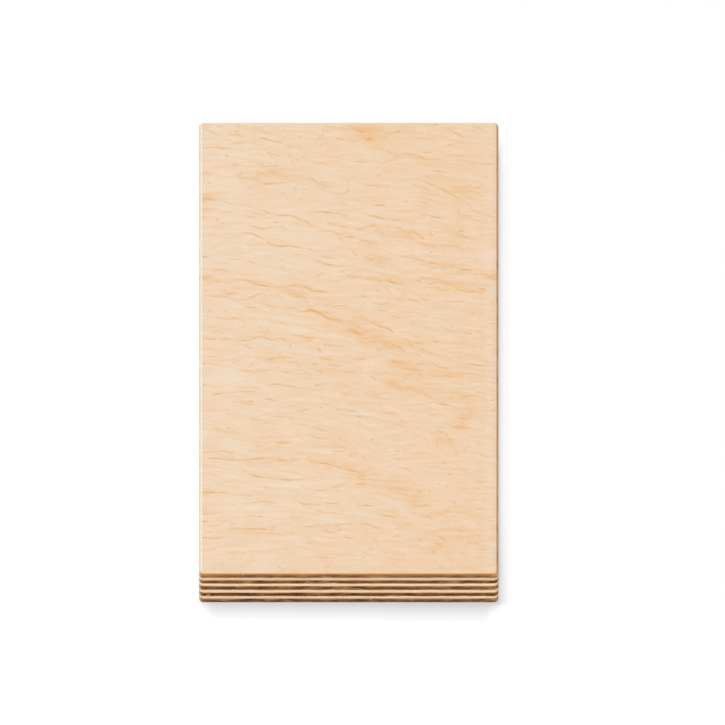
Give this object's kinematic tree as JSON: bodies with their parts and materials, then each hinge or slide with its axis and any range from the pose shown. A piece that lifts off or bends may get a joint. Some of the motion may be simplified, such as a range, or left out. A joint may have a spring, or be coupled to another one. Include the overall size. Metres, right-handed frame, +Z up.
{
  "type": "plywood sheet",
  "caption": "Rectangular plywood sheet with rounded corners and eased edges, laid up from crossed veneers whose pale and brown bands show along every edge; flat stock to cut, glue or screw.",
  "frame": {"origin": "centre of the underside, where the sheet rests on the floor", "axes": "+X across the sheet along the grain of its face, +Y along its length away from the viewer, +Z up through the plies"},
  "size_m": [0.08, 0.16, 0.012],
  "materials": {
    "outer_veneer": "satin",
    "cross_ply": "matte",
    "long_ply": "matte"
  },
  "bodies": {
    "root": {"back_veneer": "outer_veneer", "cross_ply_2": "cross_ply", "long_ply_3": "long_ply", "cross_ply_4": "cross_ply", "long_ply_5": "long_ply", "cross_ply_6": "cross_ply", "long_ply_7": "long_ply", "cross_ply_8": "cross_ply", "face_veneer": "outer_veneer"}
  },
  "joints": []
}
